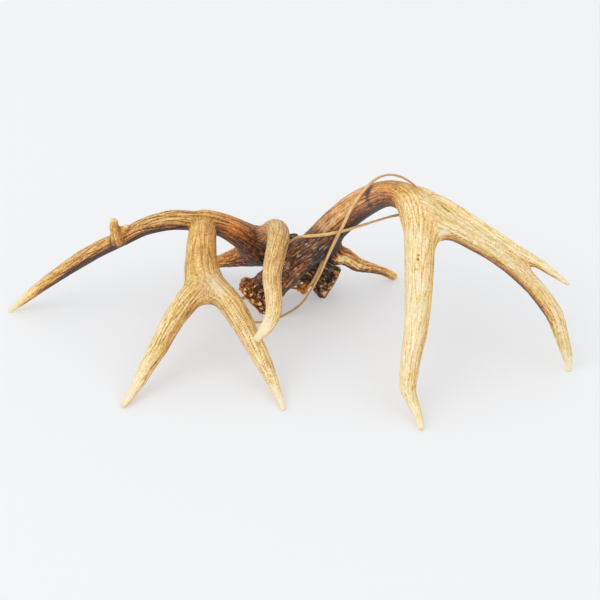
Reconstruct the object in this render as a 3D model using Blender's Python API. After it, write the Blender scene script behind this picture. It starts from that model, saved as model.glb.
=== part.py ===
"""Two shed deer antlers tied together with one leather lace.

Each antler is split at its main forks. Every part of it is a tapered tube
along a hand-set centreline, cut back to stand GAP clear of the parts that
it grows from. Lengths in the lists are in millimetres, +Z is up, the ground
is at 0, and the viewer looks from -Y.
"""

import bmesh
import bpy
from mathutils import Vector

MM = 0.001
GAP = 0.3  # between parts of one antler, and under the lace
MERGE = 0.00002
SIDES_ANTLER = 4  # bevel resolution: 12 sides
SIDES_LACE = 2  # 8 sides
STEPS = 2  # tube rings for each stretch between two points
FINE = 12  # trial points for each stretch of the lace's route
LACE_RADIUS = 1.7
SHARP = 0.9  # radians between faces that stay an edge
PLACE = Vector((19.4, 77.2, 0))  # moves the lists' origin below the middle of the whole

BONE = (0.62, 0.44, 0.24, 1.0)
DARK_BONE = (0.17, 0.085, 0.045, 1.0)
LEATHER = (0.66, 0.45, 0.22, 1.0)

# Centrelines: x, y, z and radius.
RIGHT_BEAM = [
    (-58, -29, 22, 22),
    (-50, -26, 24.9, 27),
    (-42, -24, 31.2, 21),
    (-31, -22, 43, 19.8),
    (-8, -13, 65, 18.8),
    (16, -6, 84, 17.7),
    (42, 8, 106, 17.3),
    (67, 14, 126, 17),
    (94, 13, 141, 15.6),
    (114, 1, 147, 15),
    (121, -12, 147, 14),
]
RIGHT_BROW_TINE = [
    (29, 0, 88, 10),
    (41, 6, 70, 11.5),
    (52, 6, 60, 10.2),
    (66, 12, 45, 8.4),
    (83, 26, 30, 6.5),
    (98, 38, 17, 5.4),
    (108, 44, 8.2, 5.2),
    (113, 46, 3.9, 4.5),
]
RIGHT_FRONT_TINE = [
    (118, -6, 147, 12),
    (124, -27, 146, 15.4),
    (128, -59, 138, 16.2),
    (127, -94, 119, 15.5),
    (125, -127, 93, 14.3),
    (122, -148, 71, 12.7),
    (117, -165, 52, 10.9),
    (114, -179, 36, 10),
    (113, -188, 26, 8.6),
    (117, -197, 18, 6.4),
    (121, -206, 11.5, 5.2),
    (124, -214, 6, 4.1),
    (125, -223, 3.2, 3.1),
]
RIGHT_BEAM_END = [
    (125, -23, 146, 14.3),
    (144, -39, 146, 15.3),
    (168, -58, 141, 13),
    (185, -68, 135, 11.5),
    (207, -77, 125, 11.1),
    (225, -83, 114, 11),
    (241, -88, 102, 11.1),
    (258, -95, 87, 11.3),
    (270, -100, 73, 11.1),
    (279, -106, 60, 10),
    (285, -112, 45, 9.1),
    (291, -117, 28, 7.9),
    (295, -122, 11.5, 5.8),
    (296, -125.8, 1.6, 3.3),
]
# The back tine's root, which grows flat into the beam's end up to their fork.
# The lace goes down through the opening between the root and the beam.
RIGHT_BLADE = [
    (117, 5, 142, 11.7),
    (132, 16.5, 137.2, 11),
    (147, 4, 138.5, 10.4),
    (162, -26, 147, 9.9),
    (179, -45.5, 146.5, 9.2),
    (198, -60, 141, 8.7),
    (217, -68.5, 132.5, 8.2),
    (237, -75, 121.5, 7.3),
]
RIGHT_BACK_TINE = [
    (217, -68.5, 132.5, 8.2),
    (237, -75, 121.5, 7.3),
    (258, -78.5, 110, 5.8),
    (268, -81.5, 103.5, 5),
    (278.5, -84.5, 97, 3.8),
    (288, -88, 91, 2.3),
    (293.5, -89, 87, 1.2),
]

LEFT_BEAM = [
    (40, 9, 18, 19.5),
    (34, 11, 21.1, 23.5),
    (25, 14, 28, 19.5),
    (14, 17, 36, 19.6),
    (-2, 22, 47, 19.8),
    (-21, 25, 57, 20),
    (-41, 20, 66, 19),
    (-58, 14, 80, 17.6),
    (-71, 7, 94, 15.6),
    (-84, 1, 106, 14.2),
    (-97, -5, 115, 13),
    (-106, -8, 119, 12.4),
]
LEFT_BROW_TINE = [
    (-46, 25, 60, 13),
    (-62, 28, 50, 13),
    (-77, 32, 41, 10.2),
    (-93, 40, 31, 8),
    (-111, 53, 17, 5.8),
    (-126, 65, 4, 3),
    (-130, 68, 1.8, 1.8),
]
LEFT_GUARD_TINE = [
    (-46, 20, 70, 12),
    (-36, 12, 88, 13.2),
    (-27, 0, 101, 13),
    (-24, -22, 104, 12.6),
    (-27, -47, 101, 11.7),
    (-30, -72, 97, 10.9),
    (-30, -94, 93, 10.2),
    (-28, -113, 89, 9.3),
    (-28, -129, 84, 8.5),
    (-32, -139, 77, 7.6),
    (-38, -145, 70, 6.3),
    (-45, -147, 62, 4.2),
]
LEFT_FORK_STEM = [
    (-107, -6, 117, 11.5),
    (-108, -20, 117, 14.5),
    (-108, -38, 114, 15.8),
    (-108, -59, 104, 17.1),
    (-106, -74, 92, 19),
    (-103, -86, 84, 15),
    (-102, -95, 76, 9),
]
LEFT_FORK_OUTER_TINE = [
    (-104, -82, 87, 13.6),
    (-121, -97, 76, 13.4),
    (-139, -116, 58, 11.6),
    (-154, -138, 38, 9.7),
    (-164, -149, 28, 8.4),
    (-173, -163, 17, 7),
    (-179, -172, 11, 5.3),
    (-185, -182, 5.8, 4.4),
    (-188, -187, 3.4, 3.4),
]
LEFT_FORK_INNER_TINE = [
    (-99, -82, 87, 13.6),
    (-82, -94, 77, 13),
    (-67, -109, 63, 11.9),
    (-49, -132, 40, 9.6),
    (-40, -145, 29, 8.6),
    (-30, -161, 15.5, 5.8),
    (-25, -171, 10, 4.8),
    (-21, -182, 5.5, 3.6),
    (-18, -192, 2.6, 2.5),
]
LEFT_BEAM_END = [
    (-109, -9, 120, 11),
    (-123, -12, 123, 10.5),
    (-143, -12, 123, 10.5),
    (-160, -12, 119, 9.8),
    (-178, -11, 112, 9.1),
    (-200, -15, 101, 8.4),
    (-224, -15, 88, 8.5),
    (-248, -13, 72, 8.7),
    (-275, -11, 51, 8),
    (-300, -12, 32, 6.9),
    (-322, -15, 14.5, 5),
    (-338, -20, 2, 2.2),
]
# Two small growths on the left beam's end: a blunt spur and a knob beside it.
LEFT_SPUR = [
    (-203, -23, 100, 6.5),
    (-206, -20, 108, 5.3),
    (-207.5, -16, 116, 4.9),
    (-208, -13.5, 121.5, 4.4),
]
LEFT_KNOB = [
    (-199, -18, 102, 6),
    (-197, -16, 111, 4.5),
    (-194.5, -16, 113.5, 3),
]

# The lace's centreline: x, y, z. It starts at the knot under the left
# antler's base, goes once around that base and ends at the same knot.
LACE_ROUTE = [
    (9, -2.4, 22.8),
    (14.6, -6.2, 34),
    (21, -2, 46),
    (26.2, 8, 53.5),
    (29.6, 21, 51.8),
    (26.6, 34.4, 41.6),
    (17, 37.8, 26.5),
    (6, 28.4, 15.5),
    (-10, 21, 7),
    (-40, 14, 2.7),
    (-64, 6, 2.5),
    (-77, -4, 2.5),
    (-81, -18, 2.5),
    (-74, -33, 2.5),
    (-58, -42, 2.5),
    (-40, -41, 2.5),
    (-20, -31, 2.9),
    (0, -26, 15),
    (13, -24, 35),
    (22, -23, 55),
    (31, -21, 79),
    (40, -19, 101),
    (49, -13.5, 119),
    (58, -4, 135),
    (68, 5, 146),
    (80, 15, 155.5),
    (91, 20, 160.5),
    (103, 21, 162),
    (116.5, 17.8, 159.3),
    (128.8, 9.2, 154),
    (134.3, 0, 147.5),
    (137.5, -6, 139.5),
    (135.5, -7, 130),
    (127.5, -2, 123),
    (116, 3.5, 120),
    (100, 3, 117),
    (62, -6, 109),
    (46, -11.5, 107.5),
    (28, -16, 106),
    (10, -13, 102),
    (-4, -7, 95.5),
    (-18, -8, 84),
    (-28, -1, 68),
    (-33, 0, 50),
    (-30, 5, 32),
    (-20, 9, 17),
    (-3.8, 3.5, 16.3),
]
LACE_POINTS = 84  # of the tube
# The knot's two lobes: centre, and half sizes across, deep and high.
KNOT_LOBES = [
    ((4, 0.5, 18), (6, 5, 5)),
    ((-0.5, 3, 20.5), (4.2, 3.6, 3.4)),
]


def clear_scene():
    for thing in list(bpy.data.objects):
        bpy.data.objects.remove(thing, do_unlink=True)


def new_collection(name):
    collection = bpy.data.collections.new(name)
    bpy.context.scene.collection.children.link(collection)
    return collection


def new_material(name, colour, roughness):
    material = bpy.data.materials.new(name)
    material.use_nodes = True
    shader = material.node_tree.nodes["Principled BSDF"]
    shader.inputs["Base Color"].default_value = colour
    shader.inputs["Roughness"].default_value = roughness
    shader.inputs["Metallic"].default_value = 0.0
    return material


def tube(name, collection, route, sides, extra=0.0):
    """A closed mesh along a smooth route, extra thicker and longer all round."""
    points = [Vector(p[:3]) for p in route]
    if extra:
        points[0] += (points[0] - points[1]).normalized() * extra
        points[-1] += (points[-1] - points[-2]).normalized() * extra
    curve = bpy.data.curves.new(name + "_route", "CURVE")
    curve.dimensions = "3D"
    curve.bevel_depth = MM
    curve.bevel_resolution = sides
    curve.resolution_u = STEPS
    curve.use_fill_caps = True
    spline = curve.splines.new("BEZIER")
    spline.bezier_points.add(len(route) - 1)
    for knot, place, row in zip(spline.bezier_points, points, route):
        knot.co = (PLACE + place) * MM
        knot.radius = row[3] + extra
        knot.handle_left_type = knot.handle_right_type = "AUTO"
    drawn = bpy.data.objects.new(name + "_route", curve)
    collection.objects.link(drawn)
    bpy.context.view_layer.update()
    shape = drawn.evaluated_get(bpy.context.evaluated_depsgraph_get())
    mesh = bpy.data.meshes.new_from_object(shape)
    mesh.name = name
    bpy.data.objects.remove(drawn, do_unlink=True)
    weld(mesh)
    solid = bpy.data.objects.new(name, mesh)
    collection.objects.link(solid)
    return solid


def weld(mesh):
    work = bmesh.new()
    work.from_mesh(mesh)
    bmesh.ops.remove_doubles(work, verts=work.verts[:], dist=MERGE)
    bmesh.ops.dissolve_degenerate(work, dist=MERGE, edges=work.edges[:])
    bmesh.ops.recalc_face_normals(work, faces=work.faces[:])
    work.to_mesh(mesh)
    work.free()


def combine(solid, other, operation):
    """A Boolean on solid, which the other object is then part of or cut from."""
    modifier = solid.modifiers.new(operation.lower(), "BOOLEAN")
    modifier.operation = operation
    modifier.solver = "EXACT"
    modifier.object = other
    bpy.context.view_layer.update()
    shape = solid.evaluated_get(bpy.context.evaluated_depsgraph_get())
    mesh = bpy.data.meshes.new_from_object(shape)
    old = solid.data
    solid.modifiers.clear()
    solid.data = mesh
    mesh.name = old.name
    bpy.data.meshes.remove(old)
    weld(mesh)


def keep_largest(solid):
    """Drops the crumbs that a cut leaves beside the piece."""
    work = bmesh.new()
    work.from_mesh(solid.data)
    left, groups = set(work.verts), []
    while left:
        todo = [left.pop()]
        group = set(todo)
        while todo:
            for edge in todo.pop().link_edges:
                for vert in edge.verts:
                    if vert in left:
                        left.remove(vert)
                        group.add(vert)
                        todo.append(vert)
        groups.append(group)
    for group in sorted(groups, key=len)[:-1]:
        bmesh.ops.delete(work, geom=list(group), context="VERTS")
    work.to_mesh(solid.data)
    work.free()


def finish(solid, material):
    solid.data.shade_smooth()
    solid.data.set_sharp_from_angle(angle=SHARP)
    solid.data.materials.clear()
    solid.data.materials.append(material)


def branch(name, route, growths, parents, material):
    """A part of an antler with its growths, GAP clear of those it grows from."""
    solid = tube(name, parts, route, SIDES_ANTLER)
    for number, growth in enumerate(growths):
        grown = tube(f"{name}_growth_{number}", cutters, growth, SIDES_ANTLER)
        grown.hide_render = True
        grown.display_type = "WIRE"
        combine(solid, grown, "UNION")
    for number, parent in enumerate(parents):
        cutter = tube(f"{name}_cut_{number}", cutters, parent, SIDES_ANTLER, GAP)
        cutter.hide_render = True
        cutter.display_type = "WIRE"
        combine(solid, cutter, "DIFFERENCE")
    keep_largest(solid)
    finish(solid, material)
    return solid


def right_antler():
    branch("right_beam", RIGHT_BEAM, [], [], new_material("right_beam", DARK_BONE, 0.5))
    for name, route, growths, parents in (
        ("right_brow_tine", RIGHT_BROW_TINE, [], [RIGHT_BEAM]),
        ("right_front_tine", RIGHT_FRONT_TINE, [], [RIGHT_BEAM]),
        ("right_beam_end", RIGHT_BEAM_END, [RIGHT_BLADE], [RIGHT_BEAM, RIGHT_FRONT_TINE]),
        ("right_back_tine", RIGHT_BACK_TINE, [], [RIGHT_BLADE, RIGHT_BEAM_END]),
    ):
        branch(name, route, growths, parents, new_material(name, BONE, 0.45))


def left_antler():
    branch("left_beam", LEFT_BEAM, [], [], new_material("left_beam", DARK_BONE, 0.5))
    for name, route, growths, parents in (
        ("left_brow_tine", LEFT_BROW_TINE, [], [LEFT_BEAM]),
        ("left_guard_tine", LEFT_GUARD_TINE, [], [LEFT_BEAM, LEFT_BROW_TINE]),
        ("left_fork_stem", LEFT_FORK_STEM, [], [LEFT_BEAM]),
        ("left_beam_end", LEFT_BEAM_END, [LEFT_SPUR, LEFT_KNOB], [LEFT_BEAM, LEFT_FORK_STEM]),
        ("left_fork_outer_tine", LEFT_FORK_OUTER_TINE, [], [LEFT_FORK_STEM]),
        ("left_fork_inner_tine", LEFT_FORK_INNER_TINE, [], [LEFT_FORK_STEM, LEFT_FORK_OUTER_TINE]),
    ):
        branch(name, route, growths, parents, new_material(name, BONE, 0.45))


def between(before, start, end, after, share):
    """A point on the smooth curve through four points, between the middle two."""
    return 0.5 * (
        2 * start
        + (end - before) * share
        + (2 * before - 5 * start + 4 * end - after) * share**2
        + (3 * start - before - 3 * end + after) * share**3
    )


def even_points(route, count):
    """Evenly spaced points on a smooth curve through the route's points."""
    knots = [Vector(p) for p in route]
    ends = [2 * knots[0] - knots[1], *knots, 2 * knots[-1] - knots[-2]]
    fine = []
    for first in range(len(knots) - 1):
        four = ends[first : first + 4]
        fine += [between(*four, step / FINE) for step in range(FINE)]
    fine.append(knots[-1])
    stride = sum((b - a).length for a, b in zip(fine, fine[1:])) / (count - 1)
    points, walked = [fine[0]], 0.0
    for a, b in zip(fine, fine[1:]):
        walked += (b - a).length
        if walked >= stride * len(points) and len(points) < count - 1:
            points.append(b)
    return [*points, fine[-1]]


def lace():
    """One leather lace, a plain round tube, and the knot that both ends meet."""
    curve = bpy.data.curves.new("lace", "CURVE")
    curve.dimensions = "3D"
    curve.bevel_depth = LACE_RADIUS * MM
    curve.bevel_resolution = SIDES_LACE
    curve.use_fill_caps = True
    spline = curve.splines.new("POLY")
    places = even_points(LACE_ROUTE, LACE_POINTS)
    spline.points.add(len(places) - 1)
    for point, place in zip(spline.points, places):
        point.co = (*(PLACE + place) * MM, 1.0)
    strand = bpy.data.objects.new("lace", curve)
    parts.objects.link(strand)
    curve.materials.append(new_material("lace", LEATHER, 0.5))

    lobes = []
    for number, (centre, half) in enumerate(KNOT_LOBES):
        name = "lace_knot" if number == 0 else f"lace_knot_lobe_{number}"
        mesh = bpy.data.meshes.new(name)
        work = bmesh.new()
        bmesh.ops.create_uvsphere(work, u_segments=12, v_segments=8, radius=MM)
        bmesh.ops.scale(work, vec=half, verts=work.verts[:])
        bmesh.ops.translate(work, vec=(PLACE + Vector(centre)) * MM, verts=work.verts[:])
        work.to_mesh(mesh)
        work.free()
        lobe = bpy.data.objects.new(name, mesh)
        (parts if number == 0 else cutters).objects.link(lobe)
        lobes.append(lobe)
    for extra in lobes[1:]:
        extra.hide_render = True
        extra.display_type = "WIRE"
        combine(lobes[0], extra, "UNION")
    finish(lobes[0], new_material("lace_knot", LEATHER, 0.4))


clear_scene()
parts = new_collection("deer_antlers")
cutters = new_collection("deer_antlers_cutters")
right_antler()
left_antler()
lace()
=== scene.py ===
"""Two shed deer antlers tied with a leather lace: looks, stage and camera.

Every antler is one skin. It starts as tapered tubes along the tines'
centrelines, is remeshed as one body, drawn onto a smooth union of the tines,
and then gets its burr, pearls and grooves. What each place on the skin is
like (tone, hollow, grain direction) is kept in attributes for the material.
Lengths in the lists are in millimetres, +Z is up and the viewer is at -Y.
"""

import math

import bpy
import numpy as np
from bpy.props import FloatProperty, FloatVectorProperty, PointerProperty
from mathutils import Matrix, Vector, noise


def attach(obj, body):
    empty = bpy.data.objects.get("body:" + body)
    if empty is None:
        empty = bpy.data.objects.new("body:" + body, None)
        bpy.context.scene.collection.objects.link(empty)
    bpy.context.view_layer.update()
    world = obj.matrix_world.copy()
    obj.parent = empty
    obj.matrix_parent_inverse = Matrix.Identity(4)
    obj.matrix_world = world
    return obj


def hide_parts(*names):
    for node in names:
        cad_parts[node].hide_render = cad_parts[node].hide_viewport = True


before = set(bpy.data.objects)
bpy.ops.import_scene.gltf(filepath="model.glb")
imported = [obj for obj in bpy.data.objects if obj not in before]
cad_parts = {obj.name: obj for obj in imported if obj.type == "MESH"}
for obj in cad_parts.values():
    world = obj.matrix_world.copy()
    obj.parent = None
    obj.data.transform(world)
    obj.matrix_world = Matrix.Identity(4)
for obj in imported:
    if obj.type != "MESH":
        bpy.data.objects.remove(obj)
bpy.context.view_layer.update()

bl_info = {
    "name": "Tied Deer Antlers",
    "version": (1, 0, 0),
    "blender": (4, 5, 0),
    "location": "View3D > Sidebar > Antlers",
    "description": "Builds a pair of shed deer antlers tied with a leather lace",
    "category": "Add Mesh",
}

MM = 0.001
PLACE = np.array((19.4, 77.2, 0))  # the lists' origin in the model's frame
BODY = "root"
STEPS = 8  # samples for each stretch between two rows
TUBE_SIDES = 6  # bevel resolution of the first tubes
PLUMP = 1.1  # how much thicker and longer than the tines the first tubes are
BURR_REACH = 34  # faces this near the burr are halved
ROUNDS = 4  # how many times the mesh is drawn onto the tines
EVENING = 0.6  # how far a vertex moves to its neighbours' middle in between
FACE_DOME = 1.2  # height of the slight dome on the burr's flat face
FACE_EDGE = 3.0  # how widely that face's edge is rounded
LOWEST = 0.05  # no bone goes below this height
BLEND = 2.2  # how gradually one tine's looks pass into another's
HOLLOW_WEIGHTS = (2.2, 1.0, 0.6)  # for hollows one, two and three vertices wide
LEAST_SHARE = 0.01  # a tine with less say than this in a place's looks is left out there
SEED_STEP = 31.0  # from one tine's noise to the next one's

# Relief: how fine it is round the bone, how long and, for grooves, how wide.
WIDE_GROOVES = (0.78, 45, 0.2)
FINE_GROOVES = (1.5, 28, 0.17)
SWELLS = (1.1, 60)
RIM_WAVES = (2.0, 20)
RIM_WAVE_HEIGHT = 2.5
PEBBLE_RADIUS = 0.66  # as a share of the pebbles' spacing
PEARL_SIZE = 4.8  # spacing of the pearls
SMALL_PEARL_SIZE = 2.6  # and of the small ones between them
RIM_PEARLS = 1.6  # pearls higher than this belong to the burr's rim
LEAST_PEARLS = 0.05  # lower ones are left out
PEARL_STRETCH = 0.75  # lengths along the bone count this much, so pearls are longer than wide
GRAIN_STRETCH = 0.14  # and this much for the grain

# The tines. Rows are x, y, z and radius along the centreline. The other
# lists are (share of the length, value): tone runs from 0, almost black, to
# 1, ivory; the lower side's list says how much darker that side is, partly a
# stain and partly painted shade; groove and pearl are depths; grey and warm
# tint the bone. A list that is left out is 0 all along. The fillet is how
# widely the tine joins the ones before it.
RIGHT_TINES = {
    "beam": {
        "rows": [
            (-55.8, -29, 21.5, 19.8), (-49.6, -26, 26.5, 25.6), (-43, -24, 31.5, 20.6),
            (-32, -22, 42.5, 19.3), (-8, -13, 65, 18.8), (16, -6, 84, 17.7), (42, 8, 106, 17.3),
            (67, 14, 126, 17), (94, 13, 141.4, 15), (114, 1, 147.3, 14.4),
            (121, -12, 147.2, 13.4),
        ],
        "tone": [
            (0, 0.26), (0.07, 0.26), (0.11, 0.15), (0.35, 0.11), (0.46, 0.17),
            (0.62, 0.36), (0.85, 0.4), (0.93, 0.46), (1, 0.58),
        ],
        "stain_and_shade_below": [(0, 0.1), (0.5, 0.3), (0.8, 0.5), (1, 0.1)],
        "groove": [
            (0, 0.5), (0.1, 0.5), (0.3, 0.3), (0.5, 0.4),
            (0.7, 0.4), (0.85, 0.35), (1, 0.35),
        ],
        "pearl": [
            (0, 3.6), (0.05, 3.8), (0.08, 2.4), (0.12, 1.0),
            (0.2, 0.5), (0.35, 0.3), (0.5, 0.1), (1, 0),
        ],
        "warm": [
            (0, 0.9), (0.08, 0.8), (0.13, 0.2), (0.4, 0.1),
            (0.6, 0.6), (0.85, 0.75), (1, 0.1),
        ],
        "grey": [(0, 0), (0.6, 0.1), (0.8, 0.45), (0.95, 0.2), (1, 0)],
    },
    "brow": {
        "rows": [
            (29, 0, 88, 10), (40, 4.5, 66.5, 13), (52, 6, 60.9, 10.2), (66, 12, 46, 8.4),
            (83, 26, 30.8, 6.5), (98, 38, 17.6, 5.2), (108, 44, 8.2, 5.2), (113, 46, 3.9, 4.5),
        ],
        "tone": [(0, 0.2), (0.2, 0.44), (0.5, 0.66), (0.8, 0.66), (1, 0.75)],
        "stain_and_shade_below": [(0, 0.5), (0.6, 0.6), (1, 0.2)],
        "groove": [(0, 0.6), (0.5, 0.5), (0.85, 0.4), (1, 0)],
        "pearl": [(0, 0.6), (0.3, 0.7), (0.6, 0.35), (1, 0)],
        "warm": [(0, 0.5), (0.5, 0.9), (0.8, 0.5), (1, 0.2)],
        "fillet": 14,
    },
    "front": {
        "rows": [
            (118.6, -6, 147, 11.6), (124.8, -27, 146, 14.9), (129, -59, 138, 16.9),
            (127.5, -94, 119, 15.9), (125, -127, 93, 14.3), (122, -148, 71, 12.7),
            (117.2, -165, 52, 10.9), (114.5, -179, 36, 10), (113.7, -188, 26, 8.6),
            (117.8, -197, 18, 6.4), (121.8, -206, 11.5, 5.2), (124.8, -214, 6, 4.1),
            (125.8, -223, 3.2, 3.1),
        ],
        "tone": [
            (0, 0.58), (0.12, 0.67), (0.22, 0.77), (0.5, 0.83),
            (0.8, 0.78), (0.93, 0.84), (1, 0.95),
        ],
        "stain_and_shade_below": [(0, 0.1), (1, 0.15)],
        "groove": [(0, 0.4), (0.2, 0.28), (0.8, 0.28), (0.92, 0.15), (1, 0)],
        "warm": [(0, 0.1), (1, 0.05)],
        "fillet": 9,
    },
    "end": {
        "rows": [
            (135, -31.5, 146, 13.6), (144, -39, 146, 15.1), (168, -58, 141, 12.6),
            (185, -68, 135, 11.1), (207, -77, 125, 10.4), (224.6, -83, 114, 10.1),
            (240.2, -88, 102, 10.1), (256.4, -95, 87, 9.9), (268.2, -100, 73, 9.7),
            (277.4, -106, 60, 9.2), (283.4, -112, 45, 8), (289.6, -117, 28, 6.8),
            (294.6, -122, 11.5, 5), (296, -125.8, 1.6, 3.3),
        ],
        "tone": [(0, 0.74), (0.3, 0.79), (0.7, 0.79), (0.9, 0.86), (1, 0.93)],
        "stain_and_shade_below": [(0, 0.15), (0.25, 0.7), (0.7, 0.72), (0.95, 0.2), (1, 0)],
        "groove": [(0, 0.35), (0.7, 0.4), (0.9, 0.2), (1, 0)],
        "grey": [(0, 0.1), (0.25, 0.35), (0.5, 0.2), (1, 0)],
        "fillet": 26,
    },
    "back": {
        "rows": [
            (117, 5, 142, 11.7), (132, 16.5, 137.2, 11), (147, 4, 138.5, 10.4),
            (162, -26, 147, 9.9), (179, -45.5, 146.5, 9.2), (198, -60, 140.6, 8.3),
            (217, -68.5, 132.4, 7.7), (237, -75, 122.2, 6.6), (258, -78.5, 111.2, 5.5),
            (268, -81.5, 104.9, 4.8), (278.5, -84.5, 98.5, 3.7), (288, -88, 92.4, 2.3),
            (291.6, -88.6, 90, 1.4),
        ],
        "tone": [(0, 0.66), (0.3, 0.8), (0.7, 0.84), (1, 0.9)],
        "stain_and_shade_below": [(0, 0.2), (0.6, 0.5), (1, 0.3)],
        "groove": [(0, 0.5), (0.7, 0.35), (0.9, 0.2), (1, 0)],
        "warm": [(0, 0.1), (1, 0.1)],
        "fillet": 10,
    },
}
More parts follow.
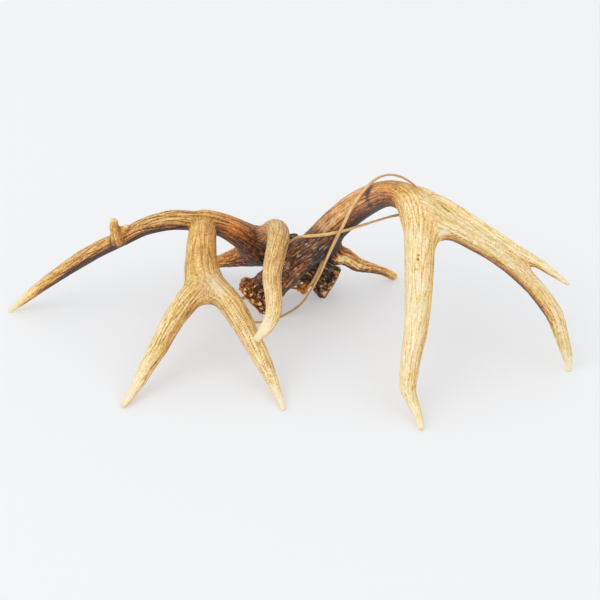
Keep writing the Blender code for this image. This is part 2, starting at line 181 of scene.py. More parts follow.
LEFT_TINES = {
    "beam": {
        "rows": [
            (39.2, 9.3, 19, 18.2), (33.6, 11.3, 21.8, 22.2), (26.5, 14, 28.5, 18.6),
            (14, 17, 36, 19.6), (-2, 22, 47, 19.8), (-21, 25, 57, 20), (-41, 20, 66, 19),
            (-58, 14, 79.6, 17.4), (-71, 7, 93.4, 15.3), (-84, 1, 105.6, 13.8),
            (-97, -5, 115, 13), (-106, -8, 119, 12.4),
        ],
        "tone": [
            (0, 0.16), (0.07, 0.14), (0.12, 0.08), (0.4, 0.1),
            (0.55, 0.18), (0.7, 0.34), (0.85, 0.46), (1, 0.5),
        ],
        "stain_and_shade_below": [(0, 0.05), (0.6, 0.1), (0.85, 0.25), (1, 0.45)],
        "groove": [(0, 0.5), (0.1, 0.8), (0.4, 0.55), (0.65, 0.38), (1, 0.36)],
        "pearl": [
            (0, 2.0), (0.06, 2.1), (0.09, 1.7), (0.14, 1.1),
            (0.35, 0.8), (0.6, 0.4), (0.8, 0.1), (1, 0),
        ],
        "warm": [(0, 0.6), (0.1, 0.3), (0.5, 0.5), (0.75, 0.9), (1, 0.25)],
        "grey": [(0, 0), (1, 0.1)],
    },
    "brow": {
        "rows": [
            (-46, 25, 59, 15.2), (-62, 28, 49.6, 14.6), (-77, 32, 41, 10.9), (-93, 40, 31, 8),
            (-111, 53, 17, 5.8), (-126, 65, 4, 3), (-130, 68, 1.8, 1.8),
        ],
        "tone": [(0, 0.22), (0.3, 0.33), (0.6, 0.42), (1, 0.46)],
        "stain_and_shade_below": [(0, 0.15), (1, 0.3)],
        "groove": [(0, 0.7), (0.4, 0.4), (1, 0)],
        "pearl": [(0, 0.6), (0.4, 0.5), (1, 0)],
        "warm": [(0, 0.8), (1, 0.5)],
        "fillet": 22,
    },
    "guard": {
        "rows": [
            (-46, 20, 70, 12), (-36, 12, 88, 13.2), (-27, 0, 101, 13), (-24, -22, 104, 12.6),
            (-27, -47, 101, 11.7), (-30, -72, 97, 10.9), (-30, -94, 93, 10.2),
            (-28, -113, 89, 9.3), (-28, -129, 84, 8.5), (-32, -139, 77, 7.6),
            (-38, -145, 70, 6.3), (-45, -147, 62, 4.2),
        ],
        "tone": [
            (0, 0.3), (0.12, 0.42), (0.3, 0.54), (0.6, 0.6),
            (0.85, 0.72), (0.93, 0.9), (1, 0.97),
        ],
        "stain_and_shade_below": [(0, 0.1), (1, 0.2)],
        "groove": [(0, 0.7), (0.2, 0.35), (0.8, 0.28), (0.92, 0.15), (1, 0)],
        "pearl": [(0, 0.3), (0.15, 0), (1, 0)],
        "warm": [(0, 0.5), (0.3, 0.1), (1, 0)],
        "grey": [(0, 0.2), (0.15, 0.6), (0.35, 0.35), (0.7, 0.2), (1, 0)],
        "fillet": 7,
    },
    "stem": {
        "rows": [
            (-107, -7, 115, 7), (-108, -20, 115.6, 14.2), (-108.4, -38, 114, 16.1),
            (-108.5, -59, 104, 17.4), (-106.8, -74, 92, 19.3), (-103.4, -85, 84.5, 15),
            (-102.4, -92, 79, 10),
        ],
        "tone": [(0, 0.5), (0.5, 0.57), (1, 0.6)],
        "stain_and_shade_below": [(0, 0.2), (1, 0.1)],
        "groove": [(0, 0.3), (1, 0.25)],
        "warm": [(0, 0.15), (0.5, 0.2), (1, 0.05)],
        "grey": [(0, 0.15), (0.6, 0.1), (1, 0.3)],
        "fillet": 7,
    },
    "outer": {
        "rows": [
            (-104, -82, 87, 13.6), (-121, -97, 76, 13.4), (-139, -116, 58, 11.6),
            (-154, -137.5, 38.5, 10.5), (-162.8, -150, 28, 8.6), (-171.4, -163, 17, 7),
            (-177.6, -172.4, 11, 5.4), (-184, -182, 5.8, 4.4), (-188, -187, 3.4, 3.4),
        ],
        "tone": [(0, 0.6), (0.4, 0.7), (0.7, 0.74), (0.85, 0.88), (1, 0.98)],
        "stain_and_shade_below": [(0, 0.1), (1, 0.25)],
        "groove": [(0, 0.4), (0.7, 0.4), (0.9, 0.15), (1, 0)],
        "warm": [(0, 0.1), (1, 0.05)],
        "grey": [(0, 0.2), (1, 0)],
        "fillet": 10,
    },
    "inner": {
        "rows": [
            (-99, -82, 87, 13.6), (-82, -94, 77, 14), (-67, -109, 63, 13),
            (-49, -132, 40, 10.6), (-40, -145, 29, 9.4), (-30.4, -161, 15.5, 6.8),
            (-25.6, -171, 10, 5.3), (-21.4, -182, 5.5, 3.7), (-18, -192, 2.6, 2.5),
        ],
        "tone": [(0, 0.6), (0.4, 0.69), (0.8, 0.76), (0.92, 0.88), (1, 0.98)],
        "stain_and_shade_below": [(0, 0.1), (1, 0.2)],
        "groove": [(0, 0.4), (0.7, 0.4), (0.9, 0.15), (1, 0)],
        "warm": [(0, 0.1), (1, 0.05)],
        "grey": [(0, 0.3), (0.4, 0.1), (1, 0)],
        "fillet": 10,
    },
    "end": {
        "rows": [
            (-104, -7.5, 118.3, 10), (-115, -10.5, 121.4, 10.4), (-125, -12, 122.6, 10.9),
            (-143, -12, 122.8, 11.3), (-160, -12, 119, 10.7), (-178, -11, 111.8, 9.9),
            (-200, -15, 101, 9.1), (-224, -15, 88, 9.1), (-248, -13, 71.4, 9),
            (-275, -11, 50.3, 8.1), (-300, -12, 31.2, 6.9), (-322, -15, 13.8, 5),
            (-338, -20, 2, 2.2),
        ],
        "tone": [(0, 0.5), (0.1, 0.46), (0.5, 0.46), (0.8, 0.57), (0.92, 0.78), (1, 0.93)],
        "stain_and_shade_below": [(0, 0.45), (0.15, 0.6), (0.6, 0.65), (0.9, 0.3), (1, 0)],
        "groove": [(0, 0.55), (0.7, 0.5), (0.9, 0.2), (1, 0)],
        "warm": [(0, 0.15), (0.5, 0.25), (1, 0.1)],
        "grey": [(0, 0.1), (0.5, 0.2), (1, 0)],
        "fillet": 6,
    },
    "knob": {
        "rows": [
            (-199, -18, 102, 6.4), (-197, -16, 111.5, 5), (-194.5, -15.5, 115.5, 3.4),
        ],
        "tone": [(0, 0.44), (1, 0.54)],
        "groove": [(0, 0.3), (1, 0)],
        "pearl": [(0, 0.2), (1, 0)],
        "warm": [(0, 0.2), (1, 0.1)],
        "grey": [(0, 0.1), (1, 0)],
        "fillet": 3,
    },
    "spur": {
        "rows": [
            (-204.5, -21.5, 102, 5.8), (-206.4, -20, 108, 5.6), (-207.8, -16, 116, 5.2),
            (-208, -13.5, 121.5, 4.7),
        ],
        "tone": [(0, 0.46), (1, 0.52)],
        "groove": [(0, 0.4), (1, 0.1)],
        "pearl": [(0, 0.2), (1, 0)],
        "warm": [(0, 0.2), (1, 0.1)],
        "grey": [(0, 0.1), (1, 0)],
        "fillet": 6,
    },
}
# Small features: place, radius, height and how much tone, warm and grey
# change. A comment stands for its own row and the ones below it.
RIGHT_MARKS = [
    ((154.4, -64.7, 142.5), 4.6, 3.2, 0.34, -0.2),  # pale knob in the fork
    ((187.5, -78.5, 137.5), 2.4, 1.2, 0.25, 0.2),  # small bump beyond it
    ((141.3, -53.8, 151.7), 5.4, 0.7, 0.05),  # small eye, raised
    ((141.3, -53.8, 151.7), 2.6, -1.4, -0.2),  # and hollow in its middle
    ((149.7, -38.1, 159.6), 2.4, -1.4, -0.3),  # short dark groove at the fork
    ((153.3, -40.7, 158.6), 2.4, -1.6, -0.4),
    ((157, -43.2, 157.7), 2.4, -1.4, -0.34),
    ((160, -46.1, 157), 2.2, -1, -0.2),
    ((2, -29, 68), 9, 0.6, 0.24, 0.9),  # orange patch on the beam
    ((10, -26.7, 75), 7, 0, 0.14, 0.6),
    ((-3, -29.6, 57), 9, 0, 0.2, 1),
    ((-17, -37.4, 50.3), 10, 0, 0.18, 0.9),
    ((22.5, -15.2, 100.9), 9, 0, -0.05, -0.3),  # darker places round it
    ((22.6, -21.5, 80.6), 10, 0, -0.07, -0.4),
    ((-47.7, -38.3, 45.3), 8, 0, -0.08),
    ((-43.2, -50.9, 23.6), 9, 0, -0.12),
    ((-60.3, -35.8, 43.5), 2.2, 0.8, 0.5, 0, 0.1),  # worn pale tips on the burr
    ((-54.5, -47.4, 33.7), 2.4, 0.9, 0.7, 0, 0.1),
    ((-52.2, -46.4, 37.2), 1.8, 0.8, 0.5, 0, 0.1),
    ((-46.5, -49.5, 33.9), 2, 0.8, 0.7, 0, 0.1),
    ((-43.2, -50.7, 27.7), 2.2, 0.9, 0.7, 0, 0.1),
    ((-41, -50.4, 21.7), 1.8, 0.8, 0.6, 0, 0.1),
    ((41.5, -5.5, 67.5), 4.8, 0.6, 0.8, -0.3),  # raised ridge of the brow tine, pale partly as rubbed bone and partly as painted highlight
    ((48, -5, 64), 4.8, 0.6, 0.75, -0.3),
    ((55.2, -3.4, 60.5), 4.8, 0.6, 0.7, -0.3),
    ((62, 0, 54), 4.6, 0.4, 0.6, -0.5),
    ((68.4, 3.6, 48), 4.5, 0.4, 0.55, -0.5),
    ((75, 9, 41.5), 4.2, 0.3, 0.45, -0.5),
    ((82.1, 16, 35), 4, 0.2, 0.35, -0.5),
    ((28.1, -9.2, 109.1), 5, 0, 0.2, -0.2, 0.6),  # painted highlight: a pale grey streak along the beam
    ((37.1, -5, 115.7), 5, 0.3, 0.26, -0.2, 0.6),
    ((46, -1.9, 123.1), 5, 0.3, 0.26, -0.2, 0.6),
    ((54.9, 0.7, 130.8), 5, 0, 0.24, -0.2, 0.6),
    ((63.8, 2.4, 137.6), 5, 0, 0.2, -0.1, 0.4),
    ((45.1, -9.5, 105.2), 7, 0, -0.1),  # dark band below it
    ((56.3, -5.3, 113.2), 7, 0, -0.12),
    ((68.6, -2.1, 120.5), 7, 0, -0.1),
    ((79.5, 12, 151), 2.6, -0.8, -0.4, 0.2),  # painted shadow of the lace: a dark line across the arch, in a shallow groove
    ((77, 9, 149.5), 2.4, -0.8, -0.5, 0.2),
    ((75.5, 6.5, 147), 2.4, -0.8, -0.5, 0.2),
    ((75, 3.8, 144), 2.4, -0.8, -0.5, 0.2),
    ((75.6, 1.2, 140.5), 2.4, -0.6, -0.45, 0.2),
    ((78.3, -0.6, 135.6), 2.6, -0.4, -0.35, 0.2),
    ((24, 0, 110), 8, 0, 0.16, 0, 0.4),  # grey top of the arch, paler partly as weathered bone and partly as painted highlight
    ((40, 6, 122), 8, 0, 0.2, 0, 0.5),
    ((54.2, 16.5, 136.7), 8, 0, 0.2, 0, 0.5),
    ((67.5, 18.2, 144.9), 8, 0, 0.18, 0, 0.5),
    ((78.5, 15.4, 150.6), 7, 0, 0.1, 0, 0.4),
    ((99.9, -6.4, 145.9), 10, 0, -0.02, 0.5),  # orange inside of the arch
    ((128.1, -87, 141.7), 1.2, -0.5, -0.25),  # pits down the front tine
    ((126.9, -91.7, 138.5), 1.1, -0.4, -0.25),
    ((125.8, -97.8, 134.4), 1.6, -0.8, -0.5),
    ((124.9, -101.6, 131.8), 1.7, -0.8, -0.5),
    ((124.2, -104.6, 129.4), 1.3, -0.5, -0.3),
    ((123.4, -109.8, 125.3), 1.2, -0.4, -0.25),
    ((125.3, -119.9, 118.3), 6, -0.4, 0.1),  # pale hollows below them
    ((122.8, -142.9, 96), 7, -0.6, 0.1),
    ((120.4, -163.2, 72), 6, -0.3, 0.08),
]
LEFT_MARKS = [
    ((-7.5, 24, 72), 7.5, 8, -0.35, -0.5),  # knob behind the crossing, painted darker as shade
    ((29.1, -10.1, 18.9), 3.4, 0.6, 0.85, -0.3, 0.2),  # worn pale spot on the burr
    ((46.5, 6.8, 37), 2.2, 1.8, 0.6, 0, 0.1),  # and knobs along its rim
    ((43.5, 0.5, 36), 2.2, 1.8, 0.6, 0, 0.1),
    ((39.8, -5, 32.3), 2.2, 1.6, 0.5, 0, 0.1),
    ((36.3, -8, 26.6), 2.4, 1.6, 0.7, 0, 0.1),
    ((42, 5, 41), 2.4, 1.6, 0.1, 0.4),
    ((38, -2.6, 37.6), 2.4, 1.4, 0.1, 0.4),
    ((45, 8, 38), 7, 0, 0.08, 0.7),  # orange side of the burr
    ((42, -6, 20), 9, 0, 0.07, 0.5),
    ((11.6, -0.6, 43.6), 9, 0, -0.06),  # darker beam above it
    ((33, -2, 37), 9, 0, -0.08, -0.2),
    ((-76.4, -9.4, 110.6), 9, 0, 0.08, 0.6),  # bright orange beside the fork
    ((-67.7, -6.5, 103.2), 8, 0, 0.04, 0.3),
    ((-54.6, -1.1, 91.4), 9, 0, -0.06, -0.6),  # and a duller place
    ((-70, 21.2, 56.7), 9, 0, 0.08, 0.6),  # orange root of the brow tine
    ((-64.3, 16.6, 47), 8, 0, 0.1, 0.8),
    ((-22.4, -13.9, 116.2), 8, 0, 0.04, 0, 0.4),  # grey top of the guard tine
    ((-97, -92, 96), 9, 0, 0.16, -0.2, 0.5),  # pale grey patch in the fork
    ((-88, -98, 89), 8, 0, 0.14, -0.2, 0.4),
    ((-110, -108, 84), 9, 0, 0.06),  # and beside it
]
PAINTED_LIGHT_SIDE = (-0.85, -0.15, 0.5)  # painted light: the bone is painted palest on the side the key light comes from
PAINTED_LIGHT_STRENGTH = 0.12  # by this much, and as much darker on the far side, as painted shade
FACE_PALER = 0.3  # how much paler the burr's flat face is than the burr
FACE_SMOOTHER = 0.8  # the share of the pearls' height that is missing there
UNDER_WARMER = 0.5  # how much the lower side's darkening, partly a stain and partly painted shade, also warms it

RIGHT_NODES = (
    "right_beam", "right_brow_tine", "right_front_tine", "right_beam_end", "right_back_tine",
)
LEFT_NODES = (
    "left_beam", "left_brow_tine", "left_guard_tine", "left_fork_stem", "left_beam_end",
    "left_fork_outer_tine", "left_fork_inner_tine",
)
ANTLERS = {
    "right_antler": (RIGHT_TINES, RIGHT_MARKS, RIGHT_NODES),
    "left_antler": (LEFT_TINES, LEFT_MARKS, LEFT_NODES),
}

# Bone colours between those of the settings.
DARK_BROWN = (0.1, 0.034, 0.01)
BROWN = (0.33, 0.125, 0.028)
STRAW = (0.85, 0.61, 0.23)
# Tints that the bone's colour is multiplied by, and the grey it is mixed with.
ROSY = (1.03, 0.965, 0.94, 1.0)
YELLOWISH = (1.0, 0.985, 0.86, 1.0)
RUSTY = (1.45, 0.78, 0.4, 1.0)
WEATHERED = (0.6, 0.46, 0.38, 1.0)
# The grain's marks: the group's input, how fine they are, and how short along the bone.
GRAINS = (
    ("Streak size", 0.34, 1.0),
    ("Line size", 0.62, 0.32),
    ("Fleck size", 0.62, 1.8),
)
FLOAT = "NodeSocketFloat"

# The lace's middle line, from the knot round both antlers and back to it.
LACE_ROUTE = [
    (9, -2.4, 22.8), (14.6, -6.2, 34), (21, -2, 46), (26.2, 8, 53.5), (29.6, 21, 51.8),
    (26.6, 34.4, 41.6), (17, 37.8, 26.5), (6, 28.4, 15.5), (-10, 21, 7), (-40, 14, 2.7),
    (-64, 6, 2.5), (-77, -4, 2.5), (-81, -18, 2.5), (-74, -33, 2.5), (-58, -42, 2.5),
    (-40, -41, 2.5), (-20, -31, 2.9), (0, -26, 15), (13, -24, 35), (22, -23, 55), (31, -21, 79),
    (40, -19, 101), (49, -13.5, 119), (58, -4, 135), (68, 5, 146), (80, 15, 155.5),
    (91, 20, 160.5), (103, 21, 162), (116.5, 17.8, 159.3), (128.8, 9.2, 154), (134.3, 0, 147.5),
    (137.5, -6, 139.5), (135.5, -7, 130), (127.5, -2, 123), (116, 3.5, 120), (100, 3, 117),
    (62, -6, 109), (46, -11.5, 107.5), (28, -16, 106), (10, -13, 102), (-4, -7, 95.5),
    (-18, -8, 84), (-28, -1, 68), (-33, 0, 50), (-30, 5, 32), (-20, 9, 17), (-3.8, 3.5, 16.3),
]
LACE_STEPS = 16  # rings for each stretch of the route
LACE_SIDES = 12  # corners of each ring
LACE_CALM = 20  # samples to each side over which the lace's flat side is evened out
LEATHER_GRAIN = (1.2, 1.2, 0.12)  # fineness across the lace, through it and along it
SQUARENESS = 0.75  # below 1 squares the lace's section off
KNOT_PLACE = (3.4, -1.0, 20.5)
KNOT_SIZE = (2.0, 1.9, 2.5)
KNOT_TURNS = (62, 20)  # degrees about X and about Z
KNOT_RINGS = 160
KNOT_WIDTH = 1.2  # times the lace's width
KNOT_THICKNESS = 1.45  # times the lace's thickness
KNOT_STAIN = 22  # the leather is darker out to about this far from the knot
SINGED = (1.05, 0.62, 0.3, 1.0)  # tint of that leather
DARKER_LEATHER = (0.62, 0.5, 0.4)  # tint of the streaks and of the lace's narrow edges

# The camera looks from the front, well above the ground.
CAMERA_TARGET = (19.4, 37.2, 55.0)
CAMERA_DISTANCE = 1500.0
CAMERA_ELEVATION = 36.0
CAMERA_LENS = 79.646
CAMERA_SENSOR = 36.0
CAMERA_SHIFT = -16 / 600

# The lamps: name, place, size, share of the key light's power and colour.
LAMPS = (
    ("key", (-2.5, -1.3, 3.3), 3.8, 1.0, (1.0, 0.985, 0.96)),
    ("fill", (2.8, -1.2, 3.2), 3.0, 0.25, (0.95, 0.97, 1.0)),
)
FLOOR_SIZE = 8.0
SKY_TINT = (0.93, 0.96, 1.0, 1.0)


class AntlerSettings(bpy.types.PropertyGroup):
    mesh_size: FloatProperty(
        name="Mesh size",
        description="Edge length of the skin's faces",
        default=0.00138,
        min=0.0006,
        unit="LENGTH",
    )
    groove_depth: FloatProperty(
        name="Groove depth",
        description="Depth of the long grooves where they are deepest",
        default=0.001,
        min=0.0,
        unit="LENGTH",
    )
    # darkest: also what the hollows are pushed towards, as dirt and painted shade
    darkest: FloatVectorProperty(
        name="Darkest",
        description="Bone at the foot of the beams, and dirt in the hollows",
        default=(0.02, 0.008, 0.004),
        subtype="COLOR",
    )
    golden: FloatVectorProperty(
        name="Golden",
        description="Bone of the upper beams",
        default=(0.62, 0.33, 0.07),
        subtype="COLOR",
    )
    ivory: FloatVectorProperty(
        name="Ivory",
        description="Rubbed bone at the tines' tips",
        default=(0.96, 0.86, 0.6),
        subtype="COLOR",
    )
    # Colour of the painted highlights: fine pale glints painted on the dark bone in place of light
    # glinting off it.
    painted_highlight: FloatVectorProperty(
        name="Painted highlight",
        description="Fine polished lines on the dark bone",
        default=(0.8, 0.7, 0.58),
        subtype="COLOR",
    )


class LaceSettings(bpy.types.PropertyGroup):
    width: FloatProperty(
        name="Width",
        description="Width of the flat lace",
        default=0.0038,
        min=0.001,
        unit="LENGTH",
    )
    thickness: FloatProperty(
        name="Thickness",
        description="Thickness of the flat lace",
        default=0.0026,
        min=0.0005,
        unit="LENGTH",
    )
    colour: FloatVectorProperty(
        name="Colour",
        description="Smooth side of the leather",
        default=(0.76, 0.48, 0.19),
        subtype="COLOR",
    )


class StageSettings(bpy.types.PropertyGroup):
    floor_colour: FloatVectorProperty(
        name="Floor",
        description="The plain pale floor",
        default=(0.52, 0.52, 0.52),
        subtype="COLOR",
    )
    glow: FloatProperty(
        name="Glow",
        description="Even light from the floor itself, which keeps its shadows faint",
        default=0.33,
        min=0.0,
    )
    key_power: FloatProperty(
        name="Key light",
        description="Power of the soft light above and to the left",
        default=42.0,
        min=0.0,
        unit="POWER",
    )
    sky: FloatProperty(
        name="Sky",
        description="Strength of the even light from all round",
        default=0.96,
        min=0.0,
    )


# ----------------------------------------------------------------- centrelines


def smooth_rows(rows, steps):
    """Rows of numbers on a smooth curve through the given rows."""
    knots = np.array(rows, float)
    ends = np.vstack([2 * knots[0] - knots[1], knots, 2 * knots[-1] - knots[-2]])
    share = np.arange(steps)[:, None] / steps
    fine = []
    for first in range(len(knots) - 1):
        a, b, c, d = ends[first : first + 4]
        square = (2 * a - 5 * b + 4 * c - d) * share**2
        fine.append(0.5 * (2 * b + (c - a) * share + square + (3 * b - a - 3 * c + d) * share**3))
    return np.vstack([*fine, knots[-1:]])


def unit(vectors):
    return vectors / np.maximum(np.linalg.norm(vectors, axis=-1, keepdims=True), 1e-9)


def columns(*values):
    return np.stack(values, axis=1)


def distances_along(places):
    """How far along the line each place is."""
    return np.append(0, np.cumsum(np.linalg.norm(np.diff(places, axis=0), axis=1)))


def carried_side(places):
    """A direction across the line at each place, carried along without twist."""
    ways = unit(np.gradient(places, axis=0))
    side = np.cross(ways[0], (0.0, 0.0, 1.0))
    sides = []
    for way in ways:
        side = unit(side - way * (side @ way))
        sides.append(side)
    return ways, np.array(sides)


class Tine:
    """One tine's centreline, sampled closely, with what its lists say."""

    def __init__(self, facts):
        fine = smooth_rows(facts["rows"], STEPS)
        self.at = fine[:, :3] + PLACE
        self.radius = fine[:, 3]
        self.way, self.side = carried_side(self.at)
        self.along = distances_along(self.at)
        self.facts = facts

    def reach(self, points):
        """Each point's distance to the tine's skin, its place along the line and its foot on it."""
        at = self.at
        apart = (at**2).sum(1) - 2 * points @ at.T
        nearest = np.argmin(apart, axis=1)
        off = np.full(len(points), np.inf)
        place = np.zeros(len(points))
        for first in (nearest - 1, nearest):
            first = np.clip(first, 0, len(at) - 2)
            start, step = at[first], at[first + 1] - at[first]
            share = np.clip(((points - start) * step).sum(1) / (step * step).sum(1), 0, 1)
            found = np.linalg.norm(points - start - step * share[:, None], axis=1)
            place = np.where(found < off, first + share, place)
            off = np.minimum(found, off)
        foot = columns(*[self.read(place, at[:, axis]) for axis in range(3)])
        return off - self.read(place, self.radius), place, foot

    def read(self, place, values):
        return np.interp(place, np.arange(len(self.at)), values)

    def fact(self, name, place):
        """A list's value at each place along the line."""
        shares, values = zip(*self.facts.get(name, [(0, 0)]))
        return np.interp(self.read(place, self.along) / self.along[-1], shares, values)

    def around(self, points, place, foot):
        """Cosine and sine of the angle around the line."""
        low = np.minimum(place.astype(int), len(self.at) - 2)
        share = (place - low)[:, None]
        side = self.side[low] * (1 - share) + self.side[low + 1] * share
        way = unit(self.way[low] * (1 - share) + self.way[low + 1] * share)
        out = points - foot
        out = out - way * (out * way).sum(1)[:, None]
        # Nearer than most of the radius, on the closed ends, the two shrink towards the middle.
        off = np.maximum(np.linalg.norm(out, axis=1), 0.8 * self.read(place, self.radius))
        out = out / off[:, None]
        return (out * side).sum(1), (out * np.cross(way, side)).sum(1)


def burr_face(points, beam):
    """How far each point is beyond the slightly domed face at the beam's foot, and its way out."""
    face = -beam.way[0]
    apart = points - beam.at[0]
    beyond = apart @ face
    off = np.linalg.norm(apart - beyond[:, None] * face, axis=1)
    beyond = beyond - FACE_DOME * np.clip(1 - (off / beam.radius[0]) ** 2, 0, 1)
    # The plane ends two radii out, because other tines pass it farther off.
    return beyond - 3 * np.maximum(off - 2 * beam.radius[0], 0), face


def skin(points, tines):
    """Signed distance to the smooth union of all tines, the way out of it, and each tine's reach."""
    reaches = [tine.reach(points) for tine in tines]
    total, _, foot = reaches[0]
    way = unit(points - foot)
    for tine, (gap, _, foot) in zip(tines[1:], reaches[1:]):
        width = tine.facts["fillet"]
        share = np.clip(0.5 + 0.5 * (total - gap) / width, 0, 1)
        total = total * (1 - share) + gap * share - width * share * (1 - share)
        way = way * (1 - share[:, None]) + unit(points - foot) * share[:, None]
    beyond, face = burr_face(points, tines[0])
    share = np.clip(0.5 + 0.5 * (beyond - total) / FACE_EDGE, 0, 1)
    total = total * (1 - share) + beyond * share + FACE_EDGE * share * (1 - share)
    way = unit(way * (1 - share[:, None]) + face * share[:, None])
    return total, way, reaches


# -------------------------------------------------------------------- the skin


def clear_selection():
    bpy.ops.object.select_all(action="DESELECT")


def pick(*things):
    clear_selection()
    for thing in things:
        thing.select_set(True)
    bpy.context.view_layer.objects.active = things[-1]


def add_tube(name, rows):
    """A tapered tube with closed ends along a tine's rows, a little thicker and longer."""
    places = [Vector(row[:3]) for row in rows]
    for end, inner in ((0, 1), (-1, -2)):
        places[end] += (places[end] - places[inner]).normalized() * PLUMP
    clear_selection()
    bpy.ops.curve.primitive_bezier_curve_add(location=(0, 0, 0))
    drawn = bpy.context.object
    drawn.name = name
    curve = drawn.data
    curve.dimensions = "3D"
    curve.bevel_depth = MM
    curve.bevel_resolution = TUBE_SIDES
    curve.resolution_u = STEPS
    curve.use_fill_caps = True
    spline = curve.splines[0]
    spline.bezier_points.add(len(rows) - len(spline.bezier_points))
    for knot, place, row in zip(spline.bezier_points, places, rows):
        knot.co = (np.array(place) + PLACE) * MM
        knot.radius = row[3] + PLUMP
        knot.handle_left_type = knot.handle_right_type = "AUTO"
    bpy.ops.object.convert(target="MESH")
    return bpy.context.object


def one_body(name, tines, size):
    """The tines' tubes as one mesh with an even skin."""
    tubes = [add_tube(f"{name}_{key}", tine["rows"]) for key, tine in tines.items()]
    pick(*tubes)
    bpy.ops.object.join()
    body = bpy.context.object
    body.name = body.data.name = name
    bpy.ops.object.modifier_add(type="REMESH")
    remesh = body.modifiers[-1]
    remesh.mode = "VOXEL"
    remesh.voxel_size = size
    bpy.ops.object.modifier_apply(modifier=remesh.name)
    return body


def refine(body, centre, reach):
    """Halves the faces within reach of a place, so that small shapes fit there."""
    pick(body)
    bpy.ops.object.mode_set(mode="EDIT")
    bpy.ops.mesh.select_mode(type="FACE")
    bpy.ops.mesh.select_all(action="DESELECT")
    bpy.ops.object.mode_set(mode="OBJECT")
    middle = Vector(centre * MM)
    for face in body.data.polygons:
        face.select = (face.center - middle).length < reach * MM
    bpy.ops.object.mode_set(mode="EDIT")
    bpy.ops.mesh.subdivide(number_cuts=1)
    bpy.ops.object.mode_set(mode="OBJECT")


def read_points(mesh):
    points = np.empty(len(mesh.vertices) * 3)
    mesh.vertices.foreach_get("co", points)
    return points.reshape(-1, 3) / MM


def write_points(mesh, points):
    mesh.vertices.foreach_set("co", (points * MM).ravel())
    mesh.update()


def edge_ends(mesh):
    ends = np.empty(len(mesh.edges) * 2, int)
    mesh.edges.foreach_get("vertices", ends)
    return ends.reshape(-1, 2)


def neighbour_mean(values, ends):
    """The mean of each vertex's neighbours."""
    total = np.zeros_like(values)
    count = np.zeros(len(values))
    for here, there in ((0, 1), (1, 0)):
        np.add.at(total, ends[:, here], values[ends[:, there]])
        np.add.at(count, ends[:, here], 1)
    return total / np.maximum(count, 1).reshape((-1,) + (1,) * (values.ndim - 1))


def draw_on(points, ends, tines):
    """Moves the mesh onto the tines' smooth union and evens it out there."""
    for turn in range(ROUNDS):
        if turn:
            points = points + EVENING * (neighbour_mean(points, ends) - points)
        for _ in range(2):
            gap, way = skin(points, tines)[:2]
            points = points - way * gap[:, None]
    return points


# ------------------------------------------------------------- what it is like


def noise_at(places):
    """A smooth random number, from about -1 to 1, at each place."""
    return np.array([noise.noise(place) for place in places.tolist()])


def cell_numbers(centres):
    """A number from 0 to 1 for each pebble's centre."""
    return (np.sin(centres @ (12.9898, 78.233, 37.719)) * 43758.5453) % 1


def pebbles_at(places):
    """Round pebbles about one unit apart: 0 between them to 1 on their tops, and a number for each."""
    found = [noise.voronoi(place) for place in places.tolist()]
    off = np.array([distances[0] for distances, _ in found])
    centres = np.array([points[0][:] for _, points in found])
    return np.clip(1 - (off / PEBBLE_RADIUS) ** 2, 0, 1), cell_numbers(centres)


def noise_on(bone, count, length, seed):
    """Smooth random numbers on the bone, count times around it and over each length along it."""
    return noise_at(columns(bone.cosine * count, bone.sine * count, bone.along / length + seed))


class Bone:
    """Where points lie on one tine's skin: the angle around it, the way along it and its radius."""

    def __init__(self, tine, points, place, foot):
        self.cosine, self.sine = tine.around(points, place, foot)
        self.along = tine.read(place, tine.along)
        self.radius = tine.read(place, tine.radius)

    def flat(self, share_along):
        """The skin as a sheet wrapped round, with lengths along it times the given share."""
        return columns(self.cosine * self.radius, self.sine * self.radius, self.along * share_along)


def grooves(bone, seed):
    """Winding channels along the bone, finer ones between them, and a slow swell."""
    found = []
    for (count, length, width), shift in ((WIDE_GROOVES, 0), (FINE_GROOVES, 7)):
        count = count * np.sqrt(bone.radius)  # a thicker tine has more of them round it
        values = noise_on(bone, count, length, seed + shift)
        found.append(np.clip(1 - (values / width) ** 2, 0, 1))
    return *found, noise_on(bone, *SWELLS, seed + 17)


def pearls(bone, height, seed):
    """The burr's pearls: how far each place stands out, the worn tips, and the relief in mm."""
    shape, worn = np.zeros(len(height)), np.zeros(len(height))
    beaded = np.flatnonzero(height > LEAST_PEARLS)
    if not len(beaded):
        return shape, worn, shape
    spots = bone.flat(PEARL_STRETCH)[beaded]
    bead, number = pebbles_at(spots / PEARL_SIZE + seed)
    small, _ = pebbles_at(spots / SMALL_PEARL_SIZE + seed + 5)
    # In shares of the height: large ones stand 0.7 to 1.3 over the skin, which lies 0.55 deep.
    shape[beaded] = bead * (0.7 + 0.6 * number) + 0.25 * small - 0.55
    # Some of the large ones are worn where a small one tops them.
    worn[beaded] = np.clip(bead * small - 0.32, 0, 1) * (number > 0.6)
    on_rim = np.clip(height - RIM_PEARLS, 0, 1)
    waves = RIM_WAVE_HEIGHT * on_rim * noise_on(bone, *RIM_WAVES, seed + 3)
    relief = height * shape + waves
    return np.clip(height, 0, 1) * shape, on_rim * worn, relief


